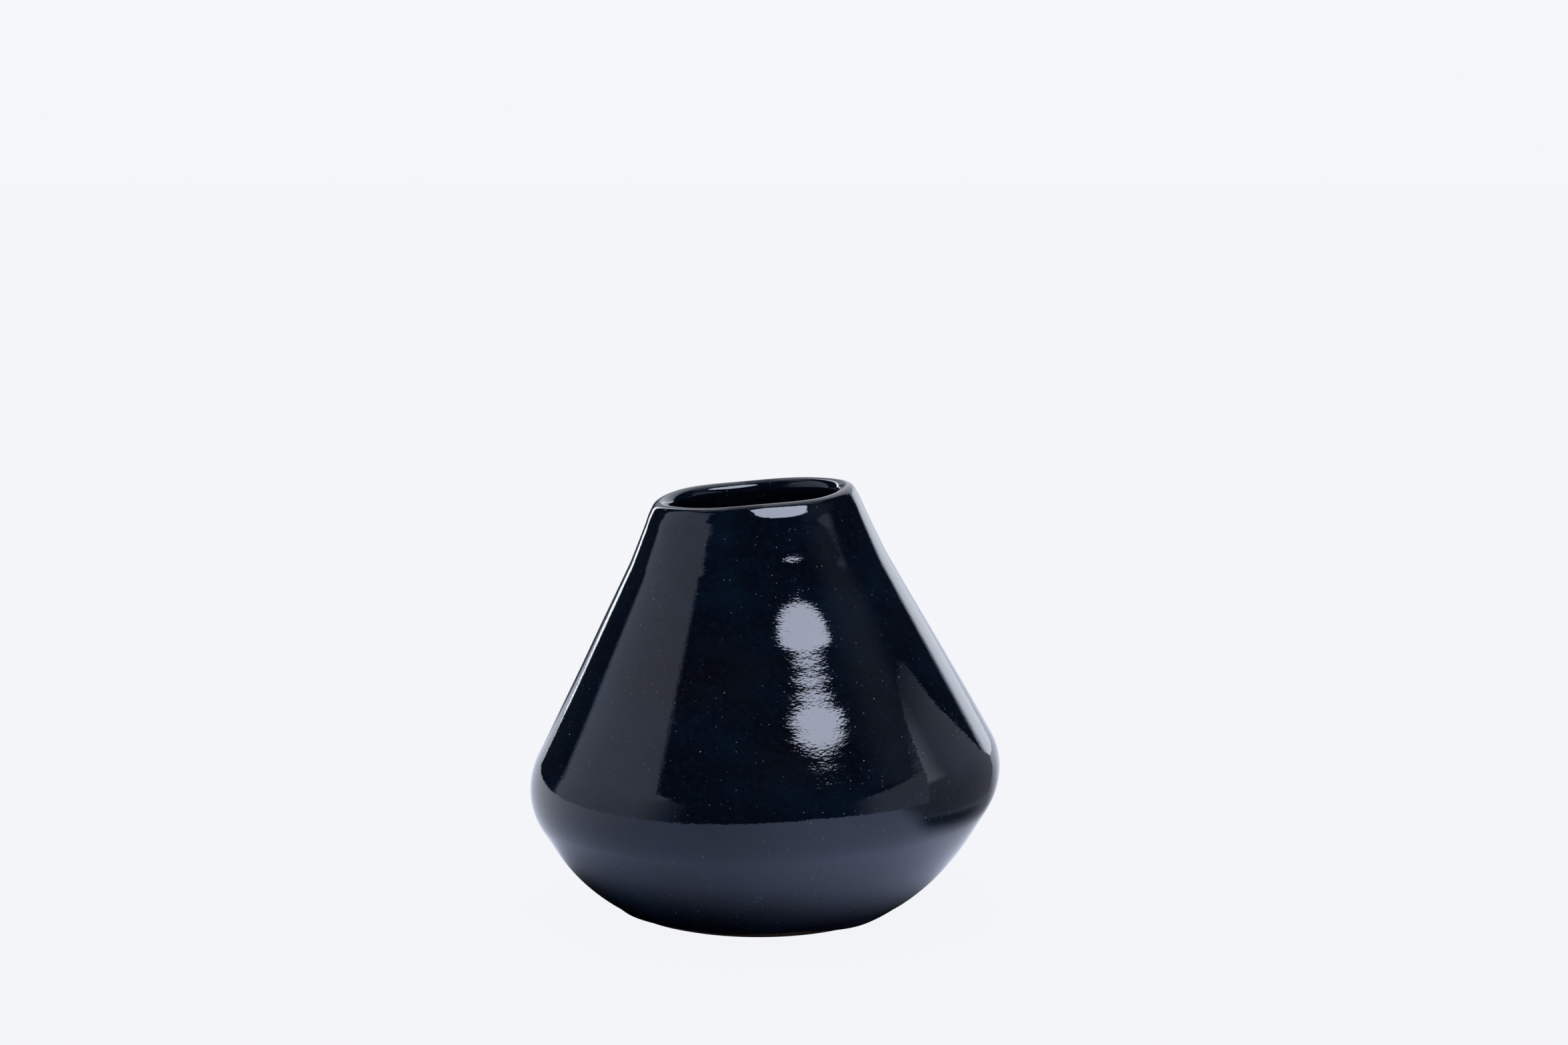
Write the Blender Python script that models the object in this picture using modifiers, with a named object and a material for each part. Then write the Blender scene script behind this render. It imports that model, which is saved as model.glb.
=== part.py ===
"""A small stoneware bottle vase with a low keel, a long cone of a shoulder and a narrow mouth.

The vase was thrown on a wheel and has sagged a little to one side, so each shape is turned about
an upright axis first and then leaned: its rings tilt and slide sideways more and more towards
the mouth.  It has three parts: the fired clay, the dark glaze on the outside, which runs over
the lip, and the glaze poured inside.

Metres, +Z up, standing on z = 0.  +X is the side towards which the rings rise.
"""
import math

import bpy
import numpy as np
from mathutils import Vector

NAME = "leaning_bottle_vase"

# The finished, glazed surface: corners of the outline as (radius, height, corner rounding).
FLOOR = (0.0, 0.0070, 0.0)
INNER_BOWL = (0.0405, 0.0095, 0.030)
INNER_KEEL = (0.0560, 0.0350, 0.014)
INNER_NECK = (0.0282, 0.0895, 0.020)
INNER_LIP = (0.0207, 0.1062, 0.0021)
OUTER_LIP = (0.0247, 0.1080, 0.0021)
NECK = (0.0323, 0.0910, 0.024)
KEEL = (0.0627, 0.0335, 0.0175)
BOWL = (0.0455, 0.0064, 0.050)
FOOT = (0.0323, 0.0, 0.0)

# The bare clay foot ring and the shallow recess that is trimmed out inside it.
RING_OUTER = 0.0312
RING_INNER = 0.0250
RECESS_RADIUS = 0.0240
RECESS_DEPTH = 0.0016

# The glaze coats.
GLAZE = 0.0005
GAP = 0.0003
LAP_HEIGHT = 0.0980
GLAZE_STOP_HEIGHT = 0.0024

# The sag: height, tilt of the ring there in degrees, and how far its middle has moved along +X.
MOUTH_HEIGHT = 0.1051
SAG = (
    (0.0, 0.0, 0.0),
    (KEEL[1] / 2, 2.1, 0.00105),
    (KEEL[1], 2.7, 0.0015),
    (MOUTH_HEIGHT, 4.5, -0.0012),
)

# How finely the round shapes are divided.
TURNS = 40
ARC_STEP = math.radians(12)
LIP_ARC_STEP = math.radians(23)
LONGEST_RUN = 0.013
MERGE = 0.00001


def remove_startup_objects():
    for obj in list(bpy.data.objects):
        bpy.data.objects.remove(obj, do_unlink=True)


def make_collection(name):
    collection = bpy.data.collections.new(name)
    bpy.context.scene.collection.children.link(collection)
    return collection


def make_material(name, colour, roughness):
    material = bpy.data.materials.new(name)
    material.use_nodes = True
    shader = material.node_tree.nodes["Principled BSDF"]
    shader.inputs["Base Color"].default_value = (*colour, 1.0)
    shader.inputs["Roughness"].default_value = roughness
    shader.inputs["Metallic"].default_value = 0.0
    return material


def round_corner(before, corner, after):
    """The arc that rounds one corner of an outline, as a list of points."""
    here = Vector(corner[:2])
    back = (Vector(before[:2]) - here).normalized()
    ahead = (Vector(after[:2]) - here).normalized()
    rounding = corner[2]
    half_angle = back.angle(ahead) / 2
    centre = here + (back + ahead).normalized() * rounding / math.sin(half_angle)
    reach = rounding / math.tan(half_angle)
    start = (here + back * reach - centre).normalized()
    end = (here + ahead * reach - centre).normalized()
    step = LIP_ARC_STEP if corner in (INNER_LIP, OUTER_LIP) else ARC_STEP
    count = math.ceil(start.angle(end) / step)
    return [centre + start.slerp(end, i / count) * rounding for i in range(count + 1)]


def outline(corners):
    """The rounded outline through a list of corners, with its long runs divided."""
    points = [Vector(corners[0][:2])]
    for before, corner, after in zip(corners, corners[1:], corners[2:]):
        points += round_corner(before, corner, after)
    points.append(Vector(corners[-1][:2]))
    divided = [points[0]]
    for start, end in zip(points, points[1:]):
        count = max(1, math.ceil((end - start).length / LONGEST_RUN))
        divided += [start.lerp(end, i / count) for i in range(1, count + 1)]
    return divided


def split(path, height):
    """The two halves of a path, cut where it first crosses a height."""
    for i, (start, end) in enumerate(zip(path, path[1:])):
        if (start.y - height) * (end.y - height) <= 0:
            cut = start.lerp(end, (height - start.y) / (end.y - start.y))
            return path[:i + 1] + [cut], [cut] + path[i + 1:]
    raise ValueError("the path doesn't reach that height")


def sink(path, depth):
    """A path moved into the wall by a depth: the wall lies on its right-hand side."""
    moved = []
    for i, point in enumerate(path):
        ahead = path[min(i + 1, len(path) - 1)] - point
        back = point - path[max(i - 1, 0)]
        along = (ahead.normalized() + back.normalized()).normalized()
        into_wall = Vector((along.y, -along.x))
        sunk = point + into_wall * depth
        if point.x < MERGE:
            sunk.x = 0.0
        moved.append(sunk)
    return moved


def lean(point):
    """Where a point of the upright vase lies after the sag."""
    tilt = math.radians(np.polyval(TILT_CURVE, point.z))
    slide = np.polyval(SLIDE_CURVE, point.z)
    x = slide + point.x * math.cos(tilt)
    z = point.z + point.x * math.sin(tilt)
    return Vector((x, point.y, z))


def turned(name, profile, closed, material, collection):
    """A solid turned from a profile that runs down its outer side, then leaned."""
    mesh = bpy.data.meshes.new(name)
    edges = [(i, i + 1) for i in range(len(profile) - 1)]
    if closed:
        edges.append((len(profile) - 1, 0))
    mesh.from_pydata([(p.x, 0.0, p.y) for p in profile], edges, [])
    blank = bpy.data.objects.new(name + "_profile", mesh)
    collection.objects.link(blank)
    screw = blank.modifiers.new("turn", "SCREW")
    screw.axis = "Z"
    screw.angle = 2 * math.pi
    screw.steps = TURNS
    screw.render_steps = TURNS
    screw.use_merge_vertices = True
    screw.merge_threshold = MERGE

    evaluated = blank.evaluated_get(bpy.context.evaluated_depsgraph_get())
    solid = bpy.data.meshes.new_from_object(evaluated)
    bpy.data.objects.remove(blank, do_unlink=True)
    for vertex in solid.vertices:
        vertex.co = lean(vertex.co)
    solid.shade_smooth()
    solid.set_sharp_from_angle(angle=math.radians(40))
    solid.materials.clear()
    solid.materials.append(material)
    obj = bpy.data.objects.new(name, solid)
    collection.objects.link(obj)
    return obj


def make_clay_body(inside, outside, collection):
    """The fired clay: wall, floor, lip and foot ring in one piece, as it came off the wheel."""
    foot_ring = [
        Vector((RING_OUTER, 0.0)),
        Vector((RING_INNER, 0.0)),
        Vector((RECESS_RADIUS, RECESS_DEPTH)),
        Vector((RECESS_RADIUS / 2, RECESS_DEPTH)),
        Vector((0.0, RECESS_DEPTH)),
    ]
    surface = sink(inside + outside[1:], GLAZE + GAP)
    clay = make_material("clay", (0.085, 0.055, 0.042), 0.75)
    return turned("clay_body", surface + foot_ring, False, clay, collection)


def make_outer_glaze(inside, outside, collection):
    """The dark coat: from just above the foot, up over the lip and a little way into the mouth."""
    lap = split(inside, LAP_HEIGHT)[1]
    coat = split(outside, GLAZE_STOP_HEIGHT)[0]
    surface = lap + coat[1:]
    back = sink(surface, GLAZE)
    glaze = make_material("midnight_glaze", (0.010, 0.013, 0.024), 0.08)
    return turned("outer_glaze", surface + back[::-1], True, glaze, collection)


def make_inner_glaze(inside, collection):
    """The coat that was poured inside: over the floor and up the wall to the outer coat."""
    surface = split(inside, LAP_HEIGHT - GAP)[0]
    back = sink(surface, GLAZE)
    glaze = make_material("liner_glaze", (0.016, 0.016, 0.020), 0.15)
    return turned("inner_glaze", surface + back[::-1], False, glaze, collection)


def centre_on_origin(objects, widest):
    """Slide the vase sideways so that the origin is under the middle of its outline."""
    reach = [vertex.co.x for vertex in widest.data.vertices]
    middle = (min(reach) + max(reach)) / 2
    for obj in objects:
        obj.location.x = -middle


def main():
    remove_startup_objects()
    collection = make_collection(NAME)
    crest = [(INNER_LIP[i] + OUTER_LIP[i]) / 2 for i in range(2)]
    inside = outline([FLOOR, INNER_BOWL, INNER_KEEL, INNER_NECK, INNER_LIP, crest])
    outside = outline([crest, OUTER_LIP, NECK, KEEL, BOWL, FOOT])
    clay_body = make_clay_body(inside, outside, collection)
    outer_glaze = make_outer_glaze(inside, outside, collection)
    inner_glaze = make_inner_glaze(inside, collection)
    centre_on_origin([clay_body, outer_glaze, inner_glaze], outer_glaze)


HEIGHTS, TILTS, SLIDES = zip(*SAG)
TILT_CURVE = np.polyfit(HEIGHTS, TILTS, 3)
SLIDE_CURVE = np.polyfit(HEIGHTS, SLIDES, 3)

main()
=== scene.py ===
"""The looks of the leaning bottle vase: glazed skin, poured liner, bare clay foot, studio and camera.

The vase is turned from the same outline as the CAD model and leaned by the same rule, then given
what the hand and the kiln leave: throwing ripples, a wavy lip, a roll of glaze above the foot.
Metres, +Z up, -Y is the front.  Azimuths in the studio run from the front (0) towards +X.
"""
import math

import bpy
import numpy as np
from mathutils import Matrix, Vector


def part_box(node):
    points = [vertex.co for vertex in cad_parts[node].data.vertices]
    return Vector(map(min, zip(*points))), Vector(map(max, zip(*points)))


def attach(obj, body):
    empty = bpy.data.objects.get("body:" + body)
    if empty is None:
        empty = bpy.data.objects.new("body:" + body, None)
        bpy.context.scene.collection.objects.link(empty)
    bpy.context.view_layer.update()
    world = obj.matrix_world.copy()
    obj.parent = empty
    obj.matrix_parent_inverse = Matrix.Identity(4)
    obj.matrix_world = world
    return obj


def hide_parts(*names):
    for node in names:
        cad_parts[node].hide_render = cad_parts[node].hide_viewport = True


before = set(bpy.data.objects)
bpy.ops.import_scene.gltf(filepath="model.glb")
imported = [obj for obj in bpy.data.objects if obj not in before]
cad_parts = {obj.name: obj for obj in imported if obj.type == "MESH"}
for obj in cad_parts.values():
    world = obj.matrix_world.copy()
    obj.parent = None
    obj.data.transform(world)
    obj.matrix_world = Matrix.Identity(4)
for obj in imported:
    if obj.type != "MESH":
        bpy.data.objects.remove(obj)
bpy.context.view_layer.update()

# ---------------------------------------------------------------------------------------------
# The outline, as on the CAD model: corners as (radius, height, corner rounding).
# ---------------------------------------------------------------------------------------------
FLOOR = (0.0, 0.0070, 0.0)
INNER_BOWL = (0.0405, 0.0095, 0.030)
INNER_KEEL = (0.0560, 0.0350, 0.014)
INNER_NECK = (0.0282, 0.0895, 0.020)
INNER_LIP = (0.0207, 0.1062, 0.0021)
OUTER_LIP = (0.0247, 0.1080, 0.0021)
NECK = (0.0323, 0.0910, 0.024)
KEEL = (0.0627, 0.0335, 0.0175)
BOWL = (0.0455, 0.0064, 0.050)
FOOT = (0.0323, 0.0, 0.0)
MOUTH_HEIGHT = 0.1051
# How the vase sags: at each height, the degrees its ring tilts up at +X and its slide along X.
SAG = (
    (0.0, 0.0, 0.0),
    (KEEL[1] / 2, 2.1, 0.00105),
    (KEEL[1], 2.7, 0.0015),
    (MOUTH_HEIGHT, 4.5, -0.0012),
)
# Inside the mouth the outer coat ends at the lap, and the liner stops a hair below it.
LAP_HEIGHT = 0.0980
LAP_GAP = 0.0003
# Outside, the coat stops above the bare foot.
COAT_FOOT = 0.0016
# How thick a coat is, and how many coats deep its hidden face and the clay under it lie.
GLAZE = 0.0005
COAT_BACK = 1.02
CLAY_FACE = 1.1
# The turned foot: a ring to stand on, round a shallow recess.
RING_OUTER = 0.0312
RING_INNER = 0.0250
RECESS_RADIUS = 0.0240
RECESS_DEPTH = 0.0016

# How finely the skin is woven: columns round the vase, and the spacing of its rows.
COLUMNS = 360
OUTER_ROW = 0.00064
INNER_ROW = 0.0011
HIDDEN_ROW = 0.006
FOOT_ROW = 0.0003

# Angles round the vase run from +X (0) through the back; the front is at -90 degrees.
AROUND = np.linspace(0, 2 * math.pi, COLUMNS, endpoint=False)

HEIGHTS, TILTS, SLIDES = zip(*SAG)
TILT_CURVE = np.polyfit(HEIGHTS, TILTS, 3)
SLIDE_CURVE = np.polyfit(HEIGHTS, SLIDES, 3)


# ---------------------------------------------------------------------------------------------
# Outlines
# ---------------------------------------------------------------------------------------------
def round_corner(before, corner, after, step=math.radians(2)):
    """The arc that rounds a corner between its two neighbours, as an array of (radius, height)."""
    here = np.array(corner[:2])
    back = np.array(before[:2]) - here
    ahead = np.array(after[:2]) - here
    back /= np.linalg.norm(back)
    ahead /= np.linalg.norm(ahead)
    half_angle = math.acos(back @ ahead) / 2
    middle = (back + ahead) / np.linalg.norm(back + ahead)
    centre = here + middle * corner[2] / math.sin(half_angle)
    start = here + back * corner[2] / math.tan(half_angle) - centre
    end = here + ahead * corner[2] / math.tan(half_angle) - centre
    turn = math.pi - 2 * half_angle
    side = math.copysign(1, start[0] * end[1] - start[1] * end[0])
    angles = side * np.linspace(0, turn, max(3, math.ceil(turn / step)))
    cos, sin = np.cos(angles), np.sin(angles)
    return centre + np.stack([start[0] * cos - start[1] * sin, start[0] * sin + start[1] * cos], 1)


def outline(corners):
    """The outline through a list of corners, rounded at each, as an array of (radius, height)."""
    arcs = [round_corner(*three) for three in zip(corners, corners[1:], corners[2:])]
    ends = np.array(corners[0][:2]), np.array(corners[-1][:2])
    return np.vstack([ends[0], *arcs, ends[1]])


def lengths(path):
    """How far along a path each of its points lies."""
    steps = np.linalg.norm(np.diff(path, axis=0), axis=1)
    return np.concatenate([[0.0], np.cumsum(steps)])


def at_lengths(path, where):
    """Points of a path at distances along it."""
    along = lengths(path)
    return np.stack([np.interp(where, along, path[:, 0]), np.interp(where, along, path[:, 1])], -1)


def even(path, spacing):
    """The same path, through points at an even spacing."""
    total = lengths(path)[-1]
    return at_lengths(path, np.linspace(0, total, max(2, round(total / spacing) + 1)))


def split(path, height):
    """The two halves of a path, cut where it first crosses a height."""
    above = path[:, 1] > height
    i = int(np.argmax(above != above[0]))
    share = (height - path[i - 1, 1]) / (path[i, 1] - path[i - 1, 1])
    cut = path[i - 1] + (path[i] - path[i - 1]) * share
    return np.vstack([path[:i], cut]), np.vstack([cut, path[i:]])


def outward(path):
    """Unit vectors out of the wall, which lies on a path's right-hand side."""
    along = np.gradient(path, axis=0)
    along /= np.linalg.norm(along, axis=1, keepdims=True)
    return np.stack([-along[:, 1], along[:, 0]], 1)


# ---------------------------------------------------------------------------------------------
# Skins
# ---------------------------------------------------------------------------------------------
def lean(radius, height):
    """World points of rings of the upright vase after its sag, rows by columns by three."""
    tilt = np.radians(np.polyval(TILT_CURVE, height))
    slide = np.polyval(SLIDE_CURVE, height)
    across = radius * np.cos(AROUND)
    x = slide + across * np.cos(tilt)
    y = radius * np.sin(AROUND)
    z = height + across * np.sin(tilt)
    return np.stack([x, y, z], -1)


def swelled(path, swell):
    """Rings along a path, pushed out of the wall by swell: one number, or rows by columns."""
    out = outward(path)
    radius = path[:, :1] + out[:, :1] * swell
    height = path[:, 1:] + out[:, 1:] * swell
    wide = np.ones((1, COLUMNS))
    return np.maximum(radius * wide, 0.0), height * wide


def stitch(name, points, loop):
    """A closed mesh over rows of points: a ring of rows if loop, else closed at the axis."""
    rows = len(points)
    grid = np.arange(rows * COLUMNS).reshape(rows, COLUMNS)
    lower = np.vstack([grid[1:], grid[:1]]) if loop else grid[1:]
    upper = grid if loop else grid[:-1]
    faces = np.stack([upper, lower, np.roll(lower, -1, 1), np.roll(upper, -1, 1)], -1)
    vertices = points.reshape(-1, 3)
    quads = faces.reshape(-1, 4).tolist()
    if not loop:
        top, bottom = len(vertices), len(vertices) + 1
        vertices = np.vstack([vertices, points[0].mean(0), points[-1].mean(0)])
        quads += [(top, a, b) for a, b in zip(grid[0], np.roll(grid[0], -1))]
        quads += [(bottom, b, a) for a, b in zip(grid[-1], np.roll(grid[-1], -1))]
    mesh = bpy.data.meshes.new(name)
    mesh.from_pydata(vertices.tolist(), [], quads)
    mesh.shade_smooth()
    obj = bpy.data.objects.new(name, mesh)
    bpy.context.scene.collection.objects.link(obj)
    return obj


def waves(height, seed, count, around, along):
    """Smooth hand-made unevenness of about -1 to 1: a sum of waves that run round and up the vase.

    Each wave has up to around crests in a turn, and a length up the vase from the pair along.
    """
    rng = np.random.default_rng(seed)
    total = np.zeros((len(height), COLUMNS))
    for _ in range(count):
        turns = rng.integers(0, around + 1)
        pitch = rng.uniform(*along)
        phase = rng.uniform(0, 2 * math.pi)
        total += np.sin(2 * math.pi * height / pitch + turns * AROUND + phase)
    return total / count ** 0.5


def smoothstep(low, high, value):
    t = np.clip((value - low) / (high - low), 0.0, 1.0)
    return t * t * (3 - 2 * t)


# ---------------------------------------------------------------------------------------------
# The vase's three skins
# ---------------------------------------------------------------------------------------------
RIPPLE = 0.000002
DENT = 0.000014
# Where hands leaned the shoulder in or let it out: at each height, how many degrees in.
SWELLS = (
    (0.0420, 0.0),
    (0.0460, -0.6),
    (0.0510, -0.4),
    (0.0530, 0.35),
    (0.0550, 0.70),
    (0.0590, 0.80),
    (0.0605, 0.35),
    (0.0625, -0.35),
    (0.0680, -0.60),
    (0.0735, -0.80),
    (0.0755, 0.70),
    (0.0780, 0.50),
    (0.0810, 0.0),
    (0.0840, -1.0),
    (0.0860, -2.2),
    (0.0890, -2.3),
    (0.0915, -1.5),
    (0.0930, 0.4),
    (0.0945, 2.5),
    (0.0960, 0.4),
    (0.0980, 0.0),
)
# The angle where the swells are fullest, how far round they reach, and their share beyond that.
SWELL_AT = math.radians(-72)
SWELL_REACH = math.radians(17)
SWELL_BEYOND = 0.1
# Their lean is blended over this many steps up the shoulder's slope.
SWELL_STEP = 0.0001
SWELL_BLEND = 15
SWELL_TOP = 0.12
SHOULDER_SLOPE = math.radians(28)
# The heights between which the swells end, and the ripples and dents calm down.
SWELL_END = (0.104, 0.107)
CALM_LIP = (0.100, 0.106)
BEAD = 0.00014
BEAD_HEIGHT = 0.1038
BEAD_WIDTH = 0.0018
# The lip's waves and its oval share, and the heights between which they come in.
LIP_WAVE = 0.00022
LIP_OVAL = 0.006
LIP_REACH = (0.088, 0.106)
# The roll of glaze above the foot, the drips of its edge, and how the coats thin out at an edge.
ROLL = 0.00016
ROLL_ABOVE = 0.0014
ROLL_WIDTH = 0.0009
DRIP = 0.0005
DRIP_REACH = 0.004
EDGE = 0.0004
LAP_EDGE = 4 * EDGE
LINER_THIN = 0.9
BARE_WIDTH = 0.0007
# The liner's finger ridges, and the heights between which they fade out.
RIDGE = 0.00022
RIDGE_PITCH = 0.0075
RIDGE_END = (0.080, 0.095)
# The turning tool's marks in the recess.
TOOL_MARK = 0.00006
TOOL_PITCH = 0.0017


def swells(height):
    """How far the shoulder stands out where a hand leaned it in or out, most at the front right."""
    grid = np.arange(0.0, SWELL_TOP, SWELL_STEP)
    lean_in = np.interp(grid, *zip(*SWELLS))
    blend = np.hanning(SWELL_BLEND)
    lean_in = np.convolve(lean_in, blend / blend.sum(), "same")
    rise = grid[1] / math.cos(SHOULDER_SLOPE)
    stands_out = np.interp(height, grid, -np.cumsum(np.tan(np.radians(lean_in))) * rise)
    aside = np.remainder(AROUND - SWELL_AT + math.pi, 2 * math.pi) - math.pi
    near = np.exp(-0.5 * (aside / SWELL_REACH) ** 2)
    return stands_out * (SWELL_BEYOND + (1 - SWELL_BEYOND) * near)


def throwing_marks(path):
    """How far the outer skin stands out: soft swells, a faint bead under the lip, fine ripples."""
    height = path[:, 1:]
    swell = swells(height) * (1 - smoothstep(*SWELL_END, height))
    bead = BEAD * np.exp(-((height - BEAD_HEIGHT) / BEAD_WIDTH) ** 2)
    ripple = RIPPLE * waves(height, seed=3, count=9, around=3, along=(0.0022, 0.006))
    dents = DENT * waves(height, seed=5, count=6, around=5, along=(0.015, 0.05))
    return swell + bead + (ripple + dents) * (1 - 0.6 * smoothstep(*CALM_LIP, height))


def wavy_lip(radius, height):
    """The lip isn't quite level or round: it was finished with wet fingers."""
    near_lip = smoothstep(*LIP_REACH, height)
    lift = LIP_WAVE * (np.sin(3 * AROUND + 0.6) + 0.5 * np.sin(5 * AROUND + 2.1))
    oval = LIP_OVAL * np.sin(2 * AROUND + 1.2)
    return radius * (1 + oval * near_lip), height + lift * near_lip


def make_outer_glaze(inside, outside):
    """The outer coat, from its lap inside the mouth over the lip to its rolled edge above the foot.

    Its thinness, one at the lip's crest and at that edge, is kept on the mesh for the material.
    """
    lap = split(inside, LAP_HEIGHT)[1]
    coat = split(outside, COAT_FOOT)[0]
    front = even(np.vstack([lap, coat[1:]]), OUTER_ROW)
    along = lengths(front)
    to_lap = along[:, None]
    to_foot = along[-1] - to_lap
    roll = ROLL * np.exp(-((to_foot - ROLL_ABOVE) / ROLL_WIDTH) ** 2)
    thin = GLAZE * (1 - smoothstep(0, EDGE, to_foot)) + GLAZE * (1 - smoothstep(0, LAP_EDGE, to_lap))
    drip = DRIP * waves(front[:, 1:], seed=11, count=5, around=7, along=(0.5, 1.0))
    drip = drip * (1 - smoothstep(0, DRIP_REACH, to_foot))
    radius, height = swelled(front, throwing_marks(front) + roll - thin)
    height = height + drip
    back = even(front, HIDDEN_ROW)
    back_radius, back_height = swelled(back, -GLAZE * COAT_BACK)
    radius, height = wavy_lip(radius, height)
    back_radius, back_height = wavy_lip(back_radius[::-1], back_height[::-1])
    points = np.vstack([lean(radius, height), lean(back_radius[1:-1], back_height[1:-1])])
    glaze = stitch("midnight_glaze_coat", points, loop=True)
    crest_at = along[np.argmax(front[:, 1])]
    on_crest = np.exp(-((along - crest_at) / BARE_WIDTH) ** 2)
    on_edge = np.exp(-((along[-1] - along) / BARE_WIDTH) ** 2)
    hidden = np.zeros(len(back) - 2)
    thinness = np.repeat(np.concatenate([on_crest + on_edge, hidden]), COLUMNS)
    attribute = glaze.data.attributes.new("thinness", "FLOAT", "POINT")
    attribute.data.foreach_set("value", thinness.astype(np.float32))
    return glaze


def make_inner_glaze(inside):
    """The poured liner, over finger ridges that wind up the inside from a spiral on the floor."""
    front = even(split(inside, LAP_HEIGHT - LAP_GAP)[0], INNER_ROW)[1:]
    along = lengths(front)[:, None]
    fade = 1 - smoothstep(*RIDGE_END, front[:, 1:])
    ridge = RIDGE * np.sin(2 * math.pi * along / RIDGE_PITCH - AROUND) * fade
    edge = GLAZE * LINER_THIN * (1 - smoothstep(0, LAP_EDGE, along[-1] - along))
    radius, height = wavy_lip(*swelled(front, ridge - edge))
    back = even(front, HIDDEN_ROW)
    back_radius, back_height = wavy_lip(*swelled(back, -GLAZE * COAT_BACK))
    points = np.vstack([lean(radius, height), lean(back_radius[::-1], back_height[::-1])])
    return stitch("poured_liner_glaze", points, loop=False)


def make_clay(inside, outside):
    """The fired clay: hidden under the glaze except for the foot and the turned recess."""
    upper = even(np.vstack([inside, outside[1:]])[1:], HIDDEN_ROW)
    radius, height = wavy_lip(*swelled(upper[:-2], -GLAZE * CLAY_FACE))
    last = np.array([radius[-1, 0], height[-1, 0]])
    # From under the glaze's edge round the ring and into the recess: (radius, height, rounding).
    foot = outline([
        (*last, 0.0),
        (RING_OUTER + 0.0024, 0.0008, 0.002),
        (RING_OUTER, 0.0, 0.0008),
        (RING_INNER, 0.0, 0.0008),
        (RECESS_RADIUS, RECESS_DEPTH, 0.0008),
        (0.0005, RECESS_DEPTH, 0.0),
    ])
    foot = even(foot, FOOT_ROW)[1:]
    in_recess = 1 - smoothstep(RECESS_RADIUS - 0.002, RECESS_RADIUS, foot[:, :1])
    tool_marks = TOOL_MARK * np.sin(2 * math.pi * foot[:, :1] / TOOL_PITCH - AROUND) * in_recess
    foot_radius, foot_height = swelled(foot, 0.0)
    foot_height = np.maximum(foot_height + tool_marks, 0.0)
    points = np.vstack([lean(radius, height), lean(foot_radius, foot_height)])
    return stitch("fired_clay", points, loop=False)


# ---------------------------------------------------------------------------------------------
# Node helpers
# ---------------------------------------------------------------------------------------------
class Nodes:
    """Short calls that add nodes to a tree: add and vector return the node, the rest its output."""

    def __init__(self, tree):
        self.tree = tree

    def add(self, kind, inputs=None, **settings):
        node = self.tree.nodes.new(kind)
        for key, value in settings.items():
            setattr(node, key, value)
        for key, value in (inputs or {}).items():
            self.put(node.inputs[key], value)
        return node

    def put(self, socket, value):
        if isinstance(value, bpy.types.NodeSocket):
            self.tree.links.new(value, socket)
        else:
            socket.default_value = value

    def math(self, operation, *values):
        node = self.add("ShaderNodeMath", operation=operation)
        for socket, value in zip(node.inputs, values):
            self.put(socket, value)
        return node.outputs[0]

    def vector(self, operation, *vectors):
        return self.add("ShaderNodeVectorMath", dict(enumerate(vectors)), operation=operation)

    def ramp(self, value, low, high, out_low=0.0, out_high=1.0):
        """A smooth step from out_low to out_high, as value goes from low to high."""
        names = ("Value", "From Min", "From Max", "To Min", "To Max")
        inputs = dict(zip(names, (value, low, high, out_low, out_high)))
        return self.add("ShaderNodeMapRange", inputs, interpolation_type="SMOOTHSTEP").outputs[0]

    def mix(self, factor, first, second):
        node = self.add("ShaderNodeMix", data_type="RGBA")
        self.put(node.inputs[0], factor)
        self.put(node.inputs[6], first)
        self.put(node.inputs[7], second)
        return node.outputs[2]

    def noise(self, where, scale, detail=3.0, roughness=0.5):
        inputs = {"Vector": where, "Scale": scale, "Detail": detail, "Roughness": roughness}
        return self.add("ShaderNodeTexNoise", inputs).outputs["Fac"]

    def stretched(self, where, scale):
        return self.add("ShaderNodeMapping", {"Vector": where, "Scale": scale}).outputs[0]

    def specks(self, where, cells, size, share):
        """Small round spots, one in some of the cells of a Voronoi pattern."""
        cell = self.add("ShaderNodeTexVoronoi", {"Vector": where, "Scale": cells})
        red = self.add("ShaderNodeSeparateColor", {"Color": cell.outputs["Color"]}).outputs[0]
        chosen = self.ramp(red, 1 - share, 1.0)
        spot = self.ramp(cell.outputs["Distance"], size, size * 0.55)
        return self.math("MULTIPLY", spot, chosen)


def colour(red, green, blue):
    return (red, green, blue, 1.0)


def new_material(name):
    """A new material, its node calls, its shader, and the socket for places on the object."""
    material = bpy.data.materials.new(name)
    material.use_nodes = True
    nodes = Nodes(material.node_tree)
    shader = material.node_tree.nodes["Principled BSDF"]
    where = nodes.add("ShaderNodeTexCoord").outputs["Object"]
    return material, nodes, shader, where


# ---------------------------------------------------------------------------------------------
# Materials
# ---------------------------------------------------------------------------------------------
INK = colour(0.0022, 0.0046, 0.0124)
NIGHT_BLUE = colour(0.0036, 0.0116, 0.0285)
SCORCHED = colour(0.0066, 0.0056, 0.0070)
BLUE_GRAIN = colour(0.0056, 0.0195, 0.0440)
THIN_BROWN = colour(0.110, 0.040, 0.025)
# Pale specks: partly real dust on the glaze, partly painted glints on its pinholes.
DUST_AND_GLINT_SPECK = colour(0.380, 0.360, 0.350)
LINER_BLACK = colour(0.0055, 0.0062, 0.0100)
LINER_BROWN = colour(0.0220, 0.0140, 0.0110)
LINER_PIT = colour(0.16, 0.13, 0.11)
DARK_CLAY = colour(0.075, 0.043, 0.030)
LIGHT_CLAY = colour(0.125, 0.078, 0.054)
SAND_GRAIN = colour(0.190, 0.135, 0.100)
IRON_SPOT = colour(0.018, 0.011, 0.009)
WORN_CLAY = colour(0.260, 0.205, 0.165)
GLAZE_IOR = 1.52


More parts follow.
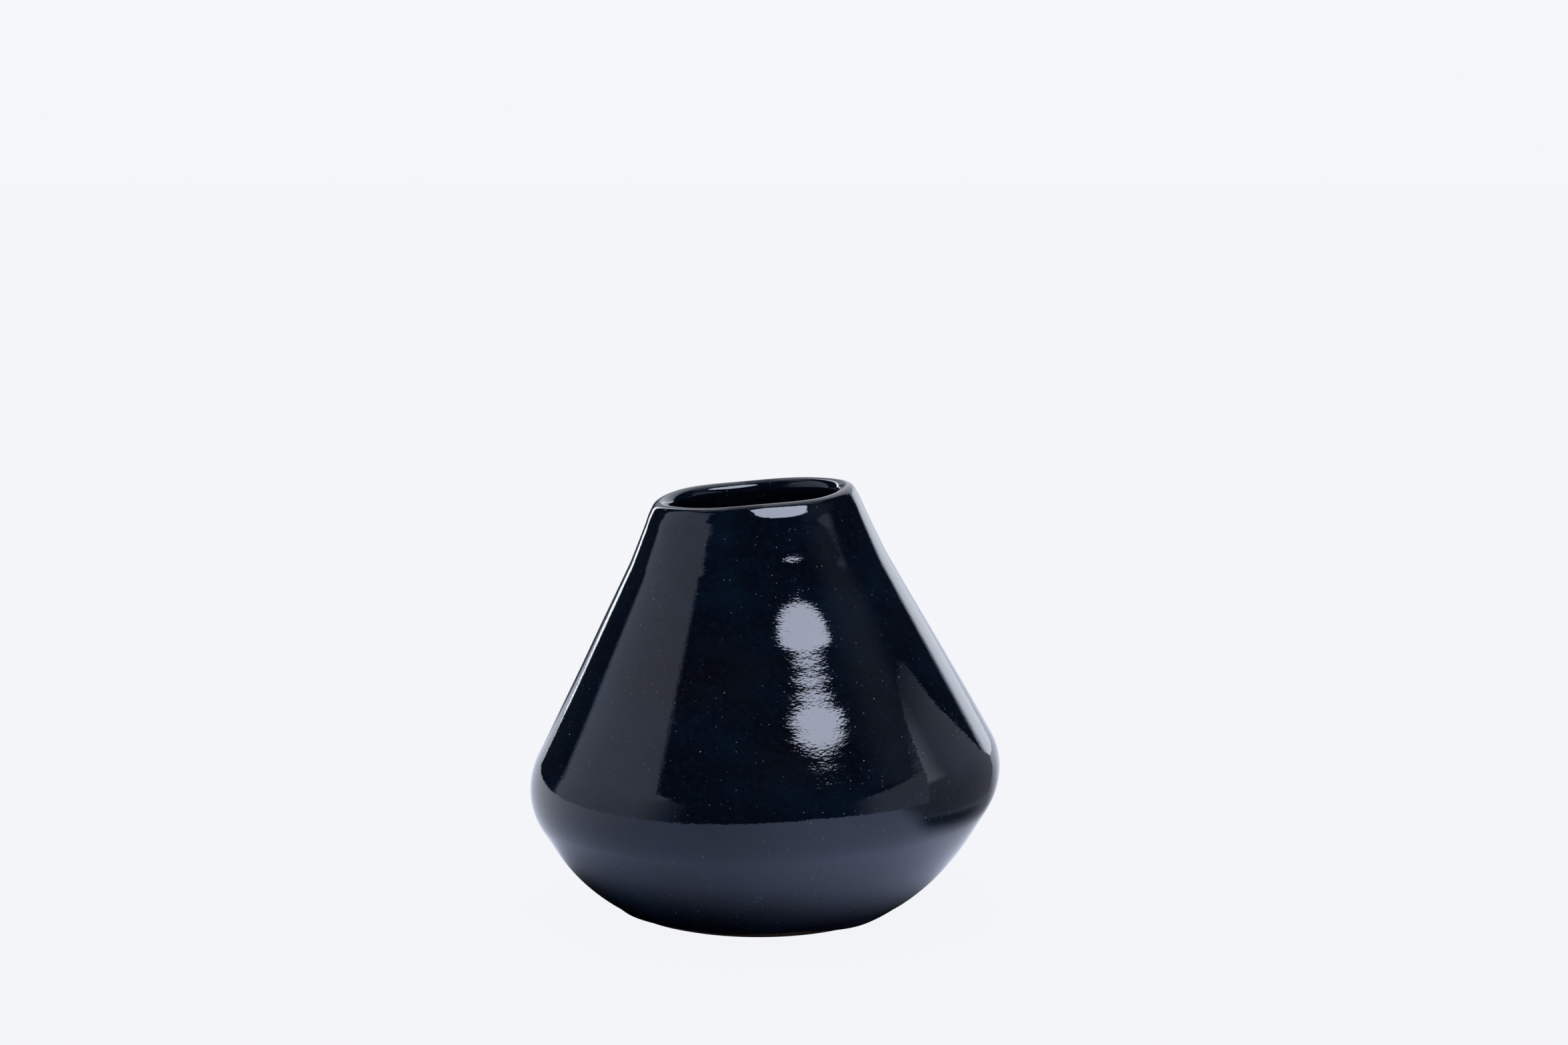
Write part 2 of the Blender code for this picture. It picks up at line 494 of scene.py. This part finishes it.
def midnight_glaze():
    """A thick blue-black gloss: mottled, brown where it thins on an edge, peppered with specks that are
    partly painted glints.
    """
    material, nodes, shader, where = new_material("midnight_glaze")
    streaky = nodes.stretched(where, (1.0, 1.0, 1.5))
    cloud = nodes.ramp(nodes.noise(streaky, 44.0, 5.0, 0.6), 0.40, 0.70)
    grain = nodes.ramp(nodes.noise(where, 700.0, 3.0, 0.6), 0.45, 0.75)
    scorch = nodes.ramp(nodes.noise(where, 30.0, 4.0, 0.55), 0.50, 0.68)
    deep = nodes.mix(cloud, INK, NIGHT_BLUE)
    deep = nodes.mix(nodes.math("MULTIPLY", scorch, 0.5), deep, SCORCHED)
    body = nodes.mix(nodes.math("MULTIPLY", grain, 0.45), deep, BLUE_GRAIN)

    thinness = nodes.add("ShaderNodeAttribute", attribute_name="thinness").outputs["Fac"]
    ragged = nodes.ramp(nodes.noise(where, 240.0, 4.0, 0.65), 0.30, 0.70, 0.35, 1.25)
    thin = nodes.ramp(nodes.math("MULTIPLY", thinness, ragged), 0.45, 1.0)
    broken = nodes.mix(thin, body, THIN_BROWN)

    # Pale spots, of dust and on pinholes: partly real specks and partly painted glints.
    dust = nodes.specks(where, cells=620.0, size=0.12, share=0.75)
    pits = nodes.specks(where, cells=330.0, size=0.07, share=0.60)
    dust_and_glints = nodes.math("MAXIMUM", nodes.math("MULTIPLY", dust, 0.55), nodes.math("MULTIPLY", pits, 0.9))
    speckled = nodes.mix(dust_and_glints, broken, DUST_AND_GLINT_SPECK)
    nodes.put(shader.inputs["Base Color"], speckled)

    smear = nodes.noise(nodes.stretched(where, (1.0, 1.0, 6.0)), 60.0, 4.0, 0.6)
    rough = nodes.ramp(smear, 0.3, 0.75, 0.022, 0.045)
    rough = nodes.math("ADD", rough, nodes.math("MULTIPLY", dust_and_glints, 0.35))
    nodes.put(shader.inputs["Roughness"], nodes.math("ADD", rough, nodes.math("MULTIPLY", thin, 0.12)))

    pebbles = nodes.noise(nodes.stretched(where, (0.65, 0.65, 1.2)), 1700.0, 1.0, 0.5)
    peel = nodes.noise(where, 520.0, 1.0, 0.5)
    relief = nodes.math("ADD", pebbles, peel)
    relief = nodes.math("SUBTRACT", relief, nodes.math("MULTIPLY", pits, 3.0))
    bump = nodes.add("ShaderNodeBump", {"Height": relief, "Distance": 0.00001, "Strength": 0.95})
    nodes.put(shader.inputs["Normal"], bump.outputs[0])
    shader.inputs["IOR"].default_value = GLAZE_IOR
    return material


def liner_glaze():
    """The glaze poured inside: blacker, with streaks of brown where it ran thin."""
    material, nodes, shader, where = new_material("liner_glaze")
    streaky = nodes.stretched(where, (1.0, 1.0, 3.0))
    run = nodes.ramp(nodes.noise(streaky, 70.0, 4.0, 0.6), 0.45, 0.75)
    body = nodes.mix(run, LINER_BLACK, LINER_BROWN)
    pits = nodes.specks(where, cells=150.0, size=0.05, share=0.2)
    nodes.put(shader.inputs["Base Color"], nodes.mix(pits, body, LINER_PIT))
    rough = nodes.ramp(nodes.noise(where, 90.0), 0.3, 0.7, 0.04, 0.09)
    nodes.put(shader.inputs["Roughness"], nodes.math("ADD", rough, nodes.math("MULTIPLY", pits, 0.3)))
    relief = nodes.noise(where, 380.0, 2.0, 0.5)
    bump = nodes.add("ShaderNodeBump", {"Height": relief, "Distance": 0.00004, "Strength": 0.5})
    nodes.put(shader.inputs["Normal"], bump.outputs[0])
    shader.inputs["IOR"].default_value = GLAZE_IOR
    return material


def fired_clay():
    """Bare dark stoneware: sandy, speckled with iron, scuffed paler where it stands."""
    material, nodes, shader, where = new_material("fired_clay")
    patch = nodes.ramp(nodes.noise(where, 70.0, 4.0, 0.6), 0.35, 0.7)
    sand = nodes.noise(where, 1400.0, 3.0, 0.7)
    body = nodes.mix(patch, DARK_CLAY, LIGHT_CLAY)
    body = nodes.mix(nodes.ramp(sand, 0.5, 0.75), body, SAND_GRAIN)
    iron = nodes.specks(where, cells=420.0, size=0.16, share=0.25)
    body = nodes.mix(iron, body, IRON_SPOT)
    height = nodes.add("ShaderNodeSeparateXYZ", {"Vector": where}).outputs["Z"]
    worn = nodes.math("MULTIPLY", nodes.ramp(height, 0.0004, 0.0), nodes.ramp(sand, 0.35, 0.6))
    nodes.put(shader.inputs["Base Color"], nodes.mix(worn, body, WORN_CLAY))
    nodes.put(shader.inputs["Roughness"], nodes.ramp(sand, 0.3, 0.7, 0.68, 0.88))
    relief = nodes.math("SUBTRACT", sand, nodes.math("MULTIPLY", iron, 0.4))
    bump = nodes.add("ShaderNodeBump", {"Height": relief, "Distance": 0.00015, "Strength": 0.6})
    nodes.put(shader.inputs["Normal"], bump.outputs[0])
    return material


# ---------------------------------------------------------------------------------------------
# The studio
# ---------------------------------------------------------------------------------------------
# What the eye sees, and the soft light that falls on the vase.
BACKDROP = colour(0.913, 0.921, 0.956)
FLOOR_SEEN = colour(0.94, 0.948, 0.98)
FLOOR_PAPER = colour(0.86, 0.865, 0.89)
FLOOR_GLOW_SHARE = 0.94
SOFT_LIGHT = colour(0.97, 0.985, 1.0)
SOFT_STRENGTH = 0.5
# Tints of what the gloss sees: low and high in the studio, behind the vase, and on the floor.
LOW_GLOSS = colour(0.86, 1.0, 1.36)
HIGH_GLOSS = colour(0.91, 1.0, 1.24)
BACK_GLOSS = colour(0.93, 1.0, 1.12)
FLOOR_GLOSS = colour(0.82, 1.0, 1.52)
FLOOR_BACK_GLOSS = colour(0.94, 1.0, 1.19)
DIM_STUDIO = 0.012
# The sides of panels that run on: round behind the vase, below the horizon, and overhead.
BEHIND_LEFT = (-200.0, -190.0)
BEHIND_RIGHT = (200.0, 190.0)
BELOW_HORIZON = (-9.0, -5.0)
NEARLY_OVERHEAD = (90.0, 80.0)
OVERHEAD = (91.0, 90.5)
# The window: its middle's azimuth and elevation, its half sizes, its brightness and its slant.
WINDOW_AT = (33.0, 60.4)
WINDOW_SIZE = (52.0, 18.3)
WINDOW_LIGHT = 8.2
WINDOW_SLANT = 0.11


class Studio(Nodes):
    """Directions of the studio, in degrees, and the soft-edged panels that stand in it."""

    def __init__(self, tree, vector):
        super().__init__(tree)
        parts = self.add("ShaderNodeSeparateXYZ", {"Vector": vector}).outputs
        front = self.math("MULTIPLY", parts["Y"], -1.0)
        self.azimuth = self.math("DEGREES", self.math("ARCTAN2", parts["X"], front))
        self.elevation = self.math("DEGREES", self.math("ARCSINE", parts["Z"]))

    def sector(self, left, right, strength):
        """Between two azimuths.  Each is a pair: where the sector is gone and where it is full."""
        across = self.math("MULTIPLY", self.ramp(self.azimuth, *left), self.ramp(self.azimuth, *right))
        return self.math("MULTIPLY", across, strength)

    def panel(self, left, right, bottom, top, strength):
        """Each side is a pair: where the panel is fully gone and where it is fully there."""
        up = self.math("MULTIPLY", self.ramp(self.elevation, *bottom), self.ramp(self.elevation, *top))
        return self.math("MULTIPLY", self.sector(left, right, up), strength)

    def oval(self, azimuth, elevation, width, height, strength, slant, soft=0.05):
        """A soft-edged oval round a direction, its right side lower by slant per degree.

        Width and height are its half sizes.  Its left and right ends are a little pointed.
        """
        aside = self.math("SUBTRACT", self.azimuth, azimuth)
        drop = self.math("MULTIPLY", aside, slant)
        rise = self.math("ADD", self.math("SUBTRACT", self.elevation, elevation), drop)
        wide = self.math("POWER", self.math("ABSOLUTE", self.math("DIVIDE", aside, width)), 1.6)
        high = self.math("POWER", self.math("DIVIDE", rise, height), 2.0)
        return self.math("MULTIPLY", self.ramp(self.math("ADD", wide, high), 1 + soft, 1 - soft), strength)

    def under(self, azimuth, elevation, slope, soft):
        """One below a sloping line through a direction, nought above it."""
        line = self.math("MULTIPLY", self.math("SUBTRACT", self.azimuth, azimuth), slope)
        height = self.math("SUBTRACT", self.math("SUBTRACT", self.elevation, elevation), line)
        return self.ramp(height, soft, -soft)

    def between(self, low, first, second, high, third):
        """From first to second as low rises to one, then on to third as high does."""
        lower = self.ramp(low, 0.0, 1.0, first, second)
        rest = self.math("MULTIPLY", self.math("SUBTRACT", third, lower), high)
        return self.math("ADD", lower, rest)

    def brightest(self, *lights):
        light = lights[0]
        for other in lights[1:]:
            light = self.math("MAXIMUM", light, other)
        return light


def left_side(studio):
    """A grey wall whose near end is soft low down, a strip light, and what stands behind them."""
    low = studio.ramp(studio.elevation, 23.0, 27.5)
    high = studio.ramp(studio.elevation, 29.4, 34.0)
    gone = studio.between(low, -36.0, -50.0, high, -62.0)
    full = studio.between(low, -72.0, -57.0, high, -66.5)
    wall_shade = studio.ramp(studio.elevation, 0.0, 30.0, 0.54, 0.62)
    wall = studio.panel((-126.0, -121.0), (gone, full), BELOW_HORIZON, (50.0, 43.0), wall_shade)
    strip = studio.panel((-160.5, -158.0), (-151.5, -154.0), BELOW_HORIZON, (60.0, 50.0), 3.0)
    back_shade = studio.ramp(studio.elevation, 3.0, 11.0, 0.04, 0.5)
    behind = studio.panel(BEHIND_LEFT, (-153.0, -157.0), BELOW_HORIZON, NEARLY_OVERHEAD, back_shade)
    corner = studio.panel(BEHIND_LEFT, (-173.0, -179.5), BELOW_HORIZON, NEARLY_OVERHEAD, 0.95)
    ceiling = studio.panel(BEHIND_LEFT, (-96.0, -112.0), (44.0, 58.0), OVERHEAD, 0.45)
    return studio.brightest(wall, strip, behind, corner, ceiling)


def right_side(studio):
    """A low wall with a sloping top, a faint glow above it, and the light backdrop and ceiling."""
    low_top = studio.under(43.0, 16.0, 0.36, 2.0)
    low_wall = studio.panel((38.0, 60.0), (98.0, 88.0), (-30.0, -25.0), (32.0, 28.0), 0.44)
    low_wall = studio.math("MULTIPLY", low_wall, low_top)
    glow = studio.panel((50.0, 80.0), (116.0, 88.0), (24.0, 34.0), (56.0, 42.0), 0.11)
    glare = studio.ramp(studio.azimuth, 143.0, 176.0, 2.3, 0.9)
    backdrop = studio.panel((138.0, 145.0), BEHIND_RIGHT, BELOW_HORIZON, (18.0, 9.0), glare)
    above = studio.panel((138.0, 146.0), BEHIND_RIGHT, BELOW_HORIZON, NEARLY_OVERHEAD, 1.0)
    ceiling = studio.panel((96.0, 112.0), BEHIND_RIGHT, (44.0, 58.0), OVERHEAD, 0.5)
    return studio.brightest(low_wall, glow, backdrop, above, ceiling)


def make_world():
    """Pale to the eye and as soft light; in the gloss, a dim studio with a few bright panels."""
    world = bpy.data.worlds.new("studio")
    bpy.context.scene.world = world
    world.use_nodes = True
    world.cycles.sampling_method = "NONE"
    tree = world.node_tree
    tree.nodes.clear()
    direction = tree.nodes.new("ShaderNodeTexCoord").outputs["Generated"]
    studio = Studio(tree, direction)
    window = studio.oval(*WINDOW_AT, *WINDOW_SIZE, WINDOW_LIGHT, WINDOW_SLANT)
    light = studio.brightest(window, left_side(studio), right_side(studio))
    light = studio.math("ADD", light, DIM_STUDIO)
    tint = studio.mix(studio.ramp(studio.elevation, -5.0, 32.0), LOW_GLOSS, HIGH_GLOSS)
    back = studio.math("ABSOLUTE", studio.azimuth)
    tint = studio.mix(studio.ramp(back, 135.0, 147.0), tint, BACK_GLOSS)
    background = "ShaderNodeBackground"
    gloss = studio.add(background, {"Color": tint, "Strength": light}).outputs[0]
    soft = studio.add(background, {"Color": SOFT_LIGHT, "Strength": SOFT_STRENGTH}).outputs[0]
    seen = studio.add(background, {"Color": BACKDROP, "Strength": 1.0}).outputs[0]
    ray = studio.add("ShaderNodeLightPath").outputs
    lit = studio.add("ShaderNodeMixShader", {0: ray["Is Glossy Ray"], 1: soft, 2: gloss}).outputs[0]
    final = studio.add("ShaderNodeMixShader", {0: ray["Is Camera Ray"], 1: lit, 2: seen}).outputs[0]
    studio.add("ShaderNodeOutputWorld", {"Surface": final})


FLOOR_SIZE = 6.0
# The floor lies a hair under the foot, so that the two don't share a plane.
FLOOR_HEIGHT = -0.00005
# Round shadows on the floor, as the gloss sees it: middle, full inside this reach, gone past that.
FOOT_SHADOW = ((-0.003, 0.0, 0.0), 0.035, 0.066)
LEFT_SHADOW = ((-0.012, 0.006, 0.0), 0.036, 0.066)
# Behind on the left the floor's painted shade deepens outwards, between these two distances from the vase.
FAR_CORNER_SHADE = ((0.0, 0.0, 0.0), 0.22, 0.45)
# The darker floor by the side card: where it begins on the right, its darkest place, its size.
CARD_SHADE_START = (0.062, 0.088)
CARD_SHADE_MIDDLE = (0.099, -0.018, 0.0)
CARD_SHADE_SIZE = (0.013, 0.050, 1.0)
# Where the table under the vase ends in the gloss: its right edge, forward of the vase, and its front.
TABLE_RIGHT = (0.27, 0.30)
TABLE_FORWARD = (0.0, 0.05)
TABLE_FRONT = (0.66, 0.80)


def away_from(studio, where, shadow, darkest, lightest):
    """A tone that goes from darkest to lightest as the floor gets away from a shadow's middle."""
    middle, inner, outer = shadow
    distance = studio.vector("DISTANCE", where, middle).outputs["Value"]
    return studio.ramp(distance, inner, outer, darkest, lightest)


def floor_gloss(studio, where):
    """How bright the floor glows in the vase's gloss: painted shade at the foot and by the side card, and
    painted light that is dimmer in front than to the sides and behind.
    """
    # Painted light: the floor's glow is dimmest in front, brighter to the right, the left and behind.
    tone_right = studio.ramp(studio.azimuth, -25.0, 35.0, 0.62, 0.94)
    tone_left = studio.ramp(studio.azimuth, -45.0, -130.0, 0.62, 1.0)
    tone_back = studio.ramp(studio.azimuth, 100.0, 150.0, 0.62, 1.0)
    tone = studio.brightest(tone_right, tone_left, tone_back)
    table = studio.math("MULTIPLY", tone, away_from(studio, where, FOOT_SHADOW, 0.01, 1.0))
    table = studio.math("MULTIPLY", table, away_from(studio, where, LEFT_SHADOW, 0.05, 1.0))
    far = away_from(studio, where, FAR_CORNER_SHADE, 0.0, 0.92)
    corner = studio.sector((-177.0, -171.0), (-156.0, -161.0), far)
    table = studio.math("MULTIPLY", table, studio.math("SUBTRACT", 1.0, corner))
    aside = studio.add("ShaderNodeSeparateXYZ", {"Vector": where}).outputs["X"]
    begun = studio.ramp(aside, *CARD_SHADE_START)
    by_card = studio.sector((56.0, 70.0), (150.0, 118.0), begun)
    offset = studio.vector("SUBTRACT", where, CARD_SHADE_MIDDLE).outputs["Vector"]
    scaled = studio.vector("DIVIDE", offset, CARD_SHADE_SIZE).outputs["Vector"]
    distance = studio.vector("LENGTH", scaled).outputs["Value"]
    shade = studio.ramp(distance, 0.3, 1.5, 0.06, 0.26)
    lit = studio.math("MULTIPLY", table, studio.math("SUBTRACT", 1.0, by_card))
    return studio.math("ADD", lit, studio.math("MULTIPLY", shade, by_card))


def table_ends(studio, where):
    """One past the table's front edge or its right edge, where the gloss sees the studio again."""
    parts = studio.add("ShaderNodeSeparateXYZ", {"Vector": where}).outputs
    ahead = studio.math("MULTIPLY", parts["Y"], -1.0)
    forward = studio.ramp(ahead, *TABLE_FORWARD)
    right = studio.math("MULTIPLY", studio.ramp(parts["X"], *TABLE_RIGHT), forward)
    return studio.math("MAXIMUM", right, studio.ramp(ahead, *TABLE_FRONT))


def make_floor():
    """A pale floor, almost shadowless to the eye; in the gloss, a bluish table with two ends."""
    bpy.ops.mesh.primitive_plane_add(size=FLOOR_SIZE)
    floor = bpy.context.object
    floor.name = "floor"
    material = bpy.data.materials.new("pale_floor")
    material.use_nodes = True
    tree = material.node_tree
    tree.nodes.clear()
    where = tree.nodes.new("ShaderNodeTexCoord").outputs["Object"]
    studio = Studio(tree, where)
    ray = studio.add("ShaderNodeLightPath").outputs
    paper = studio.add("ShaderNodeBsdfDiffuse", {"Color": FLOOR_PAPER}).outputs[0]
    glow = studio.add("ShaderNodeEmission", {"Color": FLOOR_SEEN, "Strength": 1.0}).outputs[0]
    seen = studio.math("MULTIPLY", ray["Is Camera Ray"], FLOOR_GLOW_SHARE)
    top = studio.add("ShaderNodeMixShader", {0: seen, 1: paper, 2: glow}).outputs[0]
    back = studio.math("ABSOLUTE", studio.azimuth)
    tint = studio.mix(studio.ramp(back, 25.0, 135.0), FLOOR_GLOSS, FLOOR_BACK_GLOSS)
    strength = floor_gloss(studio, where)
    table = studio.add("ShaderNodeEmission", {"Color": tint, "Strength": strength}).outputs[0]
    open_air = studio.add("ShaderNodeBsdfTransparent").outputs[0]
    ends = table_ends(studio, where)
    gloss = studio.add("ShaderNodeMixShader", {0: ends, 1: table, 2: open_air}).outputs[0]
    final = studio.add("ShaderNodeMixShader", {0: ray["Is Glossy Ray"], 1: top, 2: gloss}).outputs[0]
    studio.add("ShaderNodeOutputMaterial", {"Surface": final})
    floor.data.materials.append(material)
    floor.location.z = FLOOR_HEIGHT


# The side card stands across X; its outline's corners are (y, z).
CARD_X = 0.12
CARD_OUTLINE = (
    (-0.052, 0.0),
    (-0.050, 0.058),
    (-0.040, 0.088),
    (-0.0365, 0.099),
    (-0.032, 0.108),
    (-0.022, 0.113),
    (-0.006, 0.114),
    (0.004, 0.110),
    (0.0115, 0.098),
    (0.018, 0.089),
    (0.030, 0.0785),
    (0.048, 0.065),
    (0.074, 0.043),
    (0.078, 0.0),
)


def make_card():
    """A grey card close by on the right, only for the gloss: it glows, with painted light brightest high
    up at its near edge.
    """
    mesh = bpy.data.meshes.new("side_card")
    corners = [(CARD_X, y, z) for y, z in CARD_OUTLINE]
    mesh.from_pydata(corners, [], [tuple(range(len(corners)))])
    card = bpy.data.objects.new("side_card", mesh)
    bpy.context.scene.collection.objects.link(card)
    card.visible_camera = False
    card.visible_diffuse = False
    card.visible_shadow = False
    material = bpy.data.materials.new("grey_card")
    material.use_nodes = True
    material.node_tree.nodes.clear()
    nodes = Nodes(material.node_tree)
    where = nodes.add("ShaderNodeTexCoord").outputs["Object"]
    parts = nodes.add("ShaderNodeSeparateXYZ", {"Vector": where}).outputs
    # The card's glow is painted light: brighter higher up, brightest high on its near edge, dimmer again
    # at its very top.
    near = nodes.ramp(parts["Y"], -0.016, -0.044)
    edge = nodes.math("MULTIPLY", near, nodes.ramp(parts["Z"], 0.058, 0.070))
    shade = nodes.ramp(parts["Z"], 0.0, 0.09, 0.20, 0.36)
    strength = nodes.math("ADD", shade, nodes.math("MULTIPLY", edge, 0.75))
    dim_top = nodes.ramp(parts["Z"], 0.116, 0.090, 0.35, 1.0)
    strength = nodes.math("MULTIPLY", strength, dim_top)
    glow = nodes.add("ShaderNodeEmission", {"Color": HIGH_GLOSS, "Strength": strength}).outputs[0]
    nodes.add("ShaderNodeOutputMaterial", {"Surface": glow})
    mesh.materials.append(material)


CAMERA_PLACE = (0.00485, -0.9253, 0.2424)
CAMERA_PITCH = 8.774


def make_camera():
    data = bpy.data.cameras.new("camera")
    data.lens = 85
    data.sensor_width = 36
    data.clip_start = 0.01
    camera = bpy.data.objects.new("camera", data)
    bpy.context.scene.collection.objects.link(camera)
    camera.location = CAMERA_PLACE
    camera.rotation_euler = (math.radians(90 - CAMERA_PITCH), 0.0, 0.0)
    bpy.context.scene.camera = camera


# ---------------------------------------------------------------------------------------------
# Putting it together
# ---------------------------------------------------------------------------------------------
def dress(piece, material, node):
    piece.data.materials.append(material)
    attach(piece, "root")
    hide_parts(node)


def fit_to_frame(pieces, widest):
    """Scale and slide the skins, so that the widest is as deep as the CAD coat and centred on it."""
    low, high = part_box("outer_glaze")
    points = np.array([vertex.co for vertex in widest.data.vertices])
    size = (high.y - low.y) / np.ptp(points[:, 1])
    middle = (points[:, 0].min() + points[:, 0].max()) / 2
    slide = (low.x + high.x) / 2 - middle * size
    for piece in pieces:
        for vertex in piece.data.vertices:
            vertex.co = vertex.co * size
            vertex.co.x += slide


def make_vase():
    crest = tuple((INNER_LIP[i] + OUTER_LIP[i]) / 2 for i in range(2))
    inside = outline([FLOOR, INNER_BOWL, INNER_KEEL, INNER_NECK, INNER_LIP, crest])
    outside = outline([crest, OUTER_LIP, NECK, KEEL, BOWL, FOOT])
    coat = make_outer_glaze(inside, outside)
    liner = make_inner_glaze(inside)
    clay = make_clay(inside, outside)
    fit_to_frame([coat, liner, clay], coat)
    dress(coat, midnight_glaze(), "outer_glaze")
    dress(liner, liner_glaze(), "inner_glaze")
    dress(clay, fired_clay(), "clay_body")


make_camera()
make_floor()
make_card()
make_world()
make_vase()
bpy.context.scene.view_settings.view_transform = "Standard"
